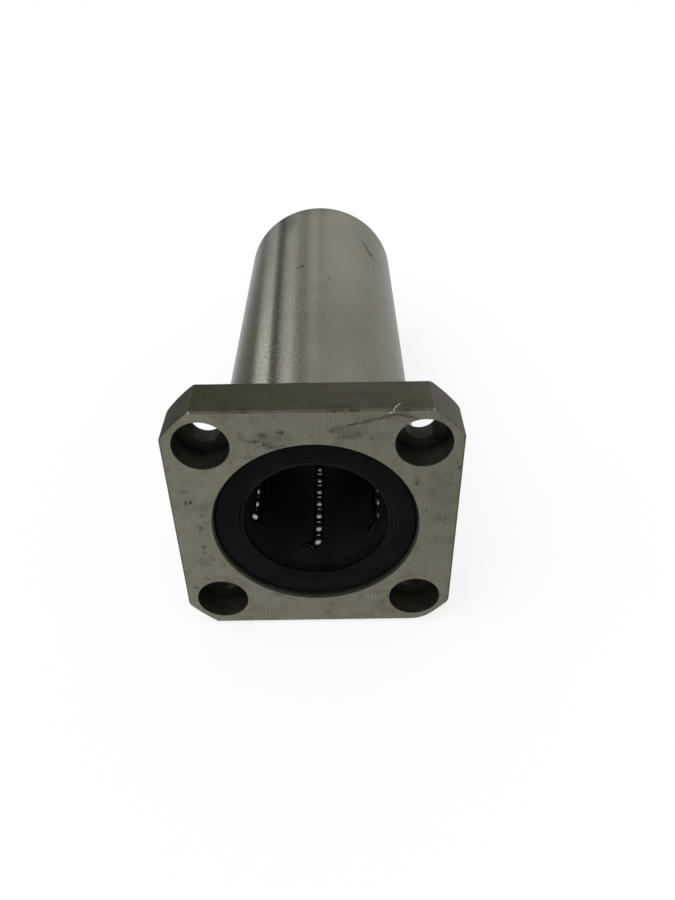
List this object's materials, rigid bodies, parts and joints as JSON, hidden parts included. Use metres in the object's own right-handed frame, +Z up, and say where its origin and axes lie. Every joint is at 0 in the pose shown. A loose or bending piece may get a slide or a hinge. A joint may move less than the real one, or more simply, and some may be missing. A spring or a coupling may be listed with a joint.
{
  "type": "flanged linear bearing",
  "caption": "Long flanged linear ball bearing: a ground steel sleeve with a square bolt-on flange, rubber end seals and caged recirculating balls that guide a round shaft.",
  "frame": {"origin": "on the bore axis, at the flange's rear face, which is the mounting face", "axes": "+Y along the bore from the flange to the rear end, +Z up, flange flats square to X and Z"},
  "size_m": [0.058, 0.123, 0.058],
  "materials": {
    "sleeve_steel": "ground",
    "ball_steel": "polished",
    "ring_steel": "oiled spring steel",
    "seal_rubber": "matte",
    "cage_resin": "moulded"
  },
  "bodies": {
    "bearing": {"flanged_sleeve": "sleeve_steel", "front_seal": "seal_rubber", "rear_seal": "seal_rubber", "front_retaining_ring": "ring_steel", "rear_retaining_ring": "ring_steel", "front_ball_cage": "cage_resin", "rear_ball_cage": "cage_resin"},
    "front_load_balls_1": {"front_load_balls_1": "ball_steel"},
    "front_rear_turn_balls_1": {"front_rear_turn_balls_1": "ball_steel"},
    "front_return_balls_1": {"front_return_balls_1": "ball_steel"},
    "front_front_turn_balls_1": {"front_front_turn_balls_1": "ball_steel"},
    "front_load_balls_2": {"front_load_balls_2": "ball_steel"},
    "front_rear_turn_balls_2": {"front_rear_turn_balls_2": "ball_steel"},
    "front_return_balls_2": {"front_return_balls_2": "ball_steel"},
    "front_front_turn_balls_2": {"front_front_turn_balls_2": "ball_steel"},
    "front_load_balls_3": {"front_load_balls_3": "ball_steel"},
    "front_rear_turn_balls_3": {"front_rear_turn_balls_3": "ball_steel"},
    "front_return_balls_3": {"front_return_balls_3": "ball_steel"},
    "front_front_turn_balls_3": {"front_front_turn_balls_3": "ball_steel"},
    "front_load_balls_4": {"front_load_balls_4": "ball_steel"},
    "front_rear_turn_balls_4": {"front_rear_turn_balls_4": "ball_steel"},
    "front_return_balls_4": {"front_return_balls_4": "ball_steel"},
    "front_front_turn_balls_4": {"front_front_turn_balls_4": "ball_steel"},
    "front_load_balls_5": {"front_load_balls_5": "ball_steel"},
    "front_rear_turn_balls_5": {"front_rear_turn_balls_5": "ball_steel"},
    "front_return_balls_5": {"front_return_balls_5": "ball_steel"},
    "front_front_turn_balls_5": {"front_front_turn_balls_5": "ball_steel"},
    "front_load_balls_6": {"front_load_balls_6": "ball_steel"},
    "front_rear_turn_balls_6": {"front_rear_turn_balls_6": "ball_steel"},
    "front_return_balls_6": {"front_return_balls_6": "ball_steel"},
    "front_front_turn_balls_6": {"front_front_turn_balls_6": "ball_steel"},
    "rear_load_balls_1": {"rear_load_balls_1": "ball_steel"},
    "rear_rear_turn_balls_1": {"rear_rear_turn_balls_1": "ball_steel"},
    "rear_return_balls_1": {"rear_return_balls_1": "ball_steel"},
    "rear_front_turn_balls_1": {"rear_front_turn_balls_1": "ball_steel"},
    "rear_load_balls_2": {"rear_load_balls_2": "ball_steel"},
    "rear_rear_turn_balls_2": {"rear_rear_turn_balls_2": "ball_steel"},
    "rear_return_balls_2": {"rear_return_balls_2": "ball_steel"},
    "rear_front_turn_balls_2": {"rear_front_turn_balls_2": "ball_steel"},
    "rear_load_balls_3": {"rear_load_balls_3": "ball_steel"},
    "rear_rear_turn_balls_3": {"rear_rear_turn_balls_3": "ball_steel"},
    "rear_return_balls_3": {"rear_return_balls_3": "ball_steel"},
    "rear_front_turn_balls_3": {"rear_front_turn_balls_3": "ball_steel"},
    "rear_load_balls_4": {"rear_load_balls_4": "ball_steel"},
    "rear_rear_turn_balls_4": {"rear_rear_turn_balls_4": "ball_steel"},
    "rear_return_balls_4": {"rear_return_balls_4": "ball_steel"},
    "rear_front_turn_balls_4": {"rear_front_turn_balls_4": "ball_steel"},
    "rear_load_balls_5": {"rear_load_balls_5": "ball_steel"},
    "rear_rear_turn_balls_5": {"rear_rear_turn_balls_5": "ball_steel"},
    "rear_return_balls_5": {"rear_return_balls_5": "ball_steel"},
    "rear_front_turn_balls_5": {"rear_front_turn_balls_5": "ball_steel"},
    "rear_load_balls_6": {"rear_load_balls_6": "ball_steel"},
    "rear_rear_turn_balls_6": {"rear_rear_turn_balls_6": "ball_steel"},
    "rear_return_balls_6": {"rear_return_balls_6": "ball_steel"},
    "rear_front_turn_balls_6": {"rear_front_turn_balls_6": "ball_steel"}
  },
  "joints": [
    {"name": "front_load_balls_1_travel", "type": "slide", "parent": "bearing", "child": "front_load_balls_1", "axis": [0, 1, 0], "range_m": [0, 0.0045]},
    {"name": "front_return_balls_1_travel", "type": "slide", "parent": "bearing", "child": "front_return_balls_1", "axis": [0, -1, 0], "range_m": [0, 0.0045]},
    {"name": "front_rear_turn_balls_1_orbit", "type": "hinge", "parent": "bearing", "child": "front_rear_turn_balls_1", "pos_m": [0.00286, 0.04358, 0.01699], "axis": [0, 0, -1], "range_deg": [0, 90]},
    {"name": "front_front_turn_balls_1_orbit", "type": "hinge", "parent": "bearing", "child": "front_front_turn_balls_1", "pos_m": [0.00286, 0.0031, 0.01699], "axis": [0, 0, -1], "range_deg": [0, 90]},
    {"name": "front_load_balls_2_travel", "type": "slide", "parent": "bearing", "child": "front_load_balls_2", "axis": [0, 1, 0], "range_m": [0, 0.0045]},
    {"name": "front_return_balls_2_travel", "type": "slide", "parent": "bearing", "child": "front_return_balls_2", "axis": [0, -1, 0], "range_m": [0, 0.0045]},
    {"name": "front_rear_turn_balls_2_orbit", "type": "hinge", "parent": "bearing", "child": "front_rear_turn_balls_2", "pos_m": [0.01615, 0.04358, 0.00602], "axis": [-0.866, 0, -0.5], "range_deg": [0, 90]},
    {"name": "front_front_turn_balls_2_orbit", "type": "hinge", "parent": "bearing", "child": "front_front_turn_balls_2", "pos_m": [0.01615, 0.0031, 0.00602], "axis": [-0.866, 0, -0.5], "range_deg": [0, 90]},
    {"name": "front_load_balls_3_travel", "type": "slide", "parent": "bearing", "child": "front_load_balls_3", "axis": [0, 1, 0], "range_m": [0, 0.0045]},
    {"name": "front_return_balls_3_travel", "type": "slide", "parent": "bearing", "child": "front_return_balls_3", "axis": [0, -1, 0], "range_m": [0, 0.0045]},
    {"name": "front_rear_turn_balls_3_orbit", "type": "hinge", "parent": "bearing", "child": "front_rear_turn_balls_3", "pos_m": [0.01329, 0.04358, -0.01098], "axis": [-0.866, 0, 0.5], "range_deg": [0, 90]},
    {"name": "front_front_turn_balls_3_orbit", "type": "hinge", "parent": "bearing", "child": "front_front_turn_balls_3", "pos_m": [0.01329, 0.0031, -0.01098], "axis": [-0.866, 0, 0.5], "range_deg": [0, 90]},
    {"name": "front_load_balls_4_travel", "type": "slide", "parent": "bearing", "child": "front_load_balls_4", "axis": [0, 1, 0], "range_m": [0, 0.0045]},
    {"name": "front_return_balls_4_travel", "type": "slide", "parent": "bearing", "child": "front_return_balls_4", "axis": [0, -1, 0], "range_m": [0, 0.0045]},
    {"name": "front_rear_turn_balls_4_orbit", "type": "hinge", "parent": "bearing", "child": "front_rear_turn_balls_4", "pos_m": [-0.00286, 0.04358, -0.01699], "axis": [0, 0, 1], "range_deg": [0, 90]},
    {"name": "front_front_turn_balls_4_orbit", "type": "hinge", "parent": "bearing", "child": "front_front_turn_balls_4", "pos_m": [-0.00286, 0.0031, -0.01699], "axis": [0, 0, 1], "range_deg": [0, 90]},
    {"name": "front_load_balls_5_travel", "type": "slide", "parent": "bearing", "child": "front_load_balls_5", "axis": [0, 1, 0], "range_m": [0, 0.0045]},
    {"name": "front_return_balls_5_travel", "type": "slide", "parent": "bearing", "child": "front_return_balls_5", "axis": [0, -1, 0], "range_m": [0, 0.0045]},
    {"name": "front_rear_turn_balls_5_orbit", "type": "hinge", "parent": "bearing", "child": "front_rear_turn_balls_5", "pos_m": [-0.01615, 0.04358, -0.00602], "axis": [0.866, 0, 0.5], "range_deg": [0, 90]},
    {"name": "front_front_turn_balls_5_orbit", "type": "hinge", "parent": "bearing", "child": "front_front_turn_balls_5", "pos_m": [-0.01615, 0.0031, -0.00602], "axis": [0.866, 0, 0.5], "range_deg": [0, 90]},
    {"name": "front_load_balls_6_travel", "type": "slide", "parent": "bearing", "child": "front_load_balls_6", "axis": [0, 1, 0], "range_m": [0, 0.0045]},
    {"name": "front_return_balls_6_travel", "type": "slide", "parent": "bearing", "child": "front_return_balls_6", "axis": [0, -1, 0], "range_m": [0, 0.0045]},
    {"name": "front_rear_turn_balls_6_orbit", "type": "hinge", "parent": "bearing", "child": "front_rear_turn_balls_6", "pos_m": [-0.01329, 0.04358, 0.01098], "axis": [0.866, 0, -0.5], "range_deg": [0, 90]},
    {"name": "front_front_turn_balls_6_orbit", "type": "hinge", "parent": "bearing", "child": "front_front_turn_balls_6", "pos_m": [-0.01329, 0.0031, 0.01098], "axis": [0.866, 0, -0.5], "range_deg": [0, 90]},
    {"name": "rear_load_balls_1_travel", "type": "slide", "parent": "bearing", "child": "rear_load_balls_1", "axis": [0, 1, 0], "range_m": [0, 0.0045]},
    {"name": "rear_return_balls_1_travel", "type": "slide", "parent": "bearing", "child": "rear_return_balls_1", "axis": [0, -1, 0], "range_m": [0, 0.0045]},
    {"name": "rear_rear_turn_balls_1_orbit", "type": "hinge", "parent": "bearing", "child": "rear_rear_turn_balls_1", "pos_m": [0.00286, 0.0999, 0.01699], "axis": [0, 0, -1], "range_deg": [0, 90]},
    {"name": "rear_front_turn_balls_1_orbit", "type": "hinge", "parent": "bearing", "child": "rear_front_turn_balls_1", "pos_m": [0.00286, 0.05942, 0.01699], "axis": [0, 0, -1], "range_deg": [0, 90]},
    {"name": "rear_load_balls_2_travel", "type": "slide", "parent": "bearing", "child": "rear_load_balls_2", "axis": [0, 1, 0], "range_m": [0, 0.0045]},
    {"name": "rear_return_balls_2_travel", "type": "slide", "parent": "bearing", "child": "rear_return_balls_2", "axis": [0, -1, 0], "range_m": [0, 0.0045]},
    {"name": "rear_rear_turn_balls_2_orbit", "type": "hinge", "parent": "bearing", "child": "rear_rear_turn_balls_2", "pos_m": [0.01615, 0.0999, 0.00602], "axis": [-0.866, 0, -0.5], "range_deg": [0, 90]},
    {"name": "rear_front_turn_balls_2_orbit", "type": "hinge", "parent": "bearing", "child": "rear_front_turn_balls_2", "pos_m": [0.01615, 0.05942, 0.00602], "axis": [-0.866, 0, -0.5], "range_deg": [0, 90]},
    {"name": "rear_load_balls_3_travel", "type": "slide", "parent": "bearing", "child": "rear_load_balls_3", "axis": [0, 1, 0], "range_m": [0, 0.0045]},
    {"name": "rear_return_balls_3_travel", "type": "slide", "parent": "bearing", "child": "rear_return_balls_3", "axis": [0, -1, 0], "range_m": [0, 0.0045]},
    {"name": "rear_rear_turn_balls_3_orbit", "type": "hinge", "parent": "bearing", "child": "rear_rear_turn_balls_3", "pos_m": [0.01329, 0.0999, -0.01098], "axis": [-0.866, 0, 0.5], "range_deg": [0, 90]},
    {"name": "rear_front_turn_balls_3_orbit", "type": "hinge", "parent": "bearing", "child": "rear_front_turn_balls_3", "pos_m": [0.01329, 0.05942, -0.01098], "axis": [-0.866, 0, 0.5], "range_deg": [0, 90]},
    {"name": "rear_load_balls_4_travel", "type": "slide", "parent": "bearing", "child": "rear_load_balls_4", "axis": [0, 1, 0], "range_m": [0, 0.0045]},
    {"name": "rear_return_balls_4_travel", "type": "slide", "parent": "bearing", "child": "rear_return_balls_4", "axis": [0, -1, 0], "range_m": [0, 0.0045]},
    {"name": "rear_rear_turn_balls_4_orbit", "type": "hinge", "parent": "bearing", "child": "rear_rear_turn_balls_4", "pos_m": [-0.00286, 0.0999, -0.01699], "axis": [0, 0, 1], "range_deg": [0, 90]},
    {"name": "rear_front_turn_balls_4_orbit", "type": "hinge", "parent": "bearing", "child": "rear_front_turn_balls_4", "pos_m": [-0.00286, 0.05942, -0.01699], "axis": [0, 0, 1], "range_deg": [0, 90]},
    {"name": "rear_load_balls_5_travel", "type": "slide", "parent": "bearing", "child": "rear_load_balls_5", "axis": [0, 1, 0], "range_m": [0, 0.0045]},
    {"name": "rear_return_balls_5_travel", "type": "slide", "parent": "bearing", "child": "rear_return_balls_5", "axis": [0, -1, 0], "range_m": [0, 0.0045]},
    {"name": "rear_rear_turn_balls_5_orbit", "type": "hinge", "parent": "bearing", "child": "rear_rear_turn_balls_5", "pos_m": [-0.01615, 0.0999, -0.00602], "axis": [0.866, 0, 0.5], "range_deg": [0, 90]},
    {"name": "rear_front_turn_balls_5_orbit", "type": "hinge", "parent": "bearing", "child": "rear_front_turn_balls_5", "pos_m": [-0.01615, 0.05942, -0.00602], "axis": [0.866, 0, 0.5], "range_deg": [0, 90]},
    {"name": "rear_load_balls_6_travel", "type": "slide", "parent": "bearing", "child": "rear_load_balls_6", "axis": [0, 1, 0], "range_m": [0, 0.0045]},
    {"name": "rear_return_balls_6_travel", "type": "slide", "parent": "bearing", "child": "rear_return_balls_6", "axis": [0, -1, 0], "range_m": [0, 0.0045]},
    {"name": "rear_rear_turn_balls_6_orbit", "type": "hinge", "parent": "bearing", "child": "rear_rear_turn_balls_6", "pos_m": [-0.01329, 0.0999, 0.01098], "axis": [0.866, 0, -0.5], "range_deg": [0, 90]},
    {"name": "rear_front_turn_balls_6_orbit", "type": "hinge", "parent": "bearing", "child": "rear_front_turn_balls_6", "pos_m": [-0.01329, 0.05942, 0.01098], "axis": [0.866, 0, -0.5], "range_deg": [0, 90]}
  ],
  "couplings": [
    {"joint": "front_return_balls_1_travel", "follows": "front_load_balls_1_travel", "ratio": 1},
    {"joint": "front_rear_turn_balls_1_orbit", "follows": "front_load_balls_1_travel", "rad_per_m": 349.29},
    {"joint": "front_front_turn_balls_1_orbit", "follows": "front_load_balls_1_travel", "rad_per_m": 349.29},
    {"joint": "front_return_balls_2_travel", "follows": "front_load_balls_2_travel", "ratio": 1},
    {"joint": "front_rear_turn_balls_2_orbit", "follows": "front_load_balls_2_travel", "rad_per_m": 349.29},
    {"joint": "front_front_turn_balls_2_orbit", "follows": "front_load_balls_2_travel", "rad_per_m": 349.29},
    {"joint": "front_return_balls_3_travel", "follows": "front_load_balls_3_travel", "ratio": 1},
    {"joint": "front_rear_turn_balls_3_orbit", "follows": "front_load_balls_3_travel", "rad_per_m": 349.29},
    {"joint": "front_front_turn_balls_3_orbit", "follows": "front_load_balls_3_travel", "rad_per_m": 349.29},
    {"joint": "front_return_balls_4_travel", "follows": "front_load_balls_4_travel", "ratio": 1},
    {"joint": "front_rear_turn_balls_4_orbit", "follows": "front_load_balls_4_travel", "rad_per_m": 349.29},
    {"joint": "front_front_turn_balls_4_orbit", "follows": "front_load_balls_4_travel", "rad_per_m": 349.29},
    {"joint": "front_return_balls_5_travel", "follows": "front_load_balls_5_travel", "ratio": 1},
    {"joint": "front_rear_turn_balls_5_orbit", "follows": "front_load_balls_5_travel", "rad_per_m": 349.29},
    {"joint": "front_front_turn_balls_5_orbit", "follows": "front_load_balls_5_travel", "rad_per_m": 349.29},
    {"joint": "front_return_balls_6_travel", "follows": "front_load_balls_6_travel", "ratio": 1},
    {"joint": "front_rear_turn_balls_6_orbit", "follows": "front_load_balls_6_travel", "rad_per_m": 349.29},
    {"joint": "front_front_turn_balls_6_orbit", "follows": "front_load_balls_6_travel", "rad_per_m": 349.29},
    {"joint": "rear_return_balls_1_travel", "follows": "rear_load_balls_1_travel", "ratio": 1},
    {"joint": "rear_rear_turn_balls_1_orbit", "follows": "rear_load_balls_1_travel", "rad_per_m": 349.29},
    {"joint": "rear_front_turn_balls_1_orbit", "follows": "rear_load_balls_1_travel", "rad_per_m": 349.29},
    {"joint": "rear_return_balls_2_travel", "follows": "rear_load_balls_2_travel", "ratio": 1},
    {"joint": "rear_rear_turn_balls_2_orbit", "follows": "rear_load_balls_2_travel", "rad_per_m": 349.29},
    {"joint": "rear_front_turn_balls_2_orbit", "follows": "rear_load_balls_2_travel", "rad_per_m": 349.29},
    {"joint": "rear_return_balls_3_travel", "follows": "rear_load_balls_3_travel", "ratio": 1},
    {"joint": "rear_rear_turn_balls_3_orbit", "follows": "rear_load_balls_3_travel", "rad_per_m": 349.29},
    {"joint": "rear_front_turn_balls_3_orbit", "follows": "rear_load_balls_3_travel", "rad_per_m": 349.29},
    {"joint": "rear_return_balls_4_travel", "follows": "rear_load_balls_4_travel", "ratio": 1},
    {"joint": "rear_rear_turn_balls_4_orbit", "follows": "rear_load_balls_4_travel", "rad_per_m": 349.29},
    {"joint": "rear_front_turn_balls_4_orbit", "follows": "rear_load_balls_4_travel", "rad_per_m": 349.29},
    {"joint": "rear_return_balls_5_travel", "follows": "rear_load_balls_5_travel", "ratio": 1},
    {"joint": "rear_rear_turn_balls_5_orbit", "follows": "rear_load_balls_5_travel", "rad_per_m": 349.29},
    {"joint": "rear_front_turn_balls_5_orbit", "follows": "rear_load_balls_5_travel", "rad_per_m": 349.29},
    {"joint": "rear_return_balls_6_travel", "follows": "rear_load_balls_6_travel", "ratio": 1},
    {"joint": "rear_rear_turn_balls_6_orbit", "follows": "rear_load_balls_6_travel", "rad_per_m": 349.29},
    {"joint": "rear_front_turn_balls_6_orbit", "follows": "rear_load_balls_6_travel", "rad_per_m": 349.29}
  ]
}
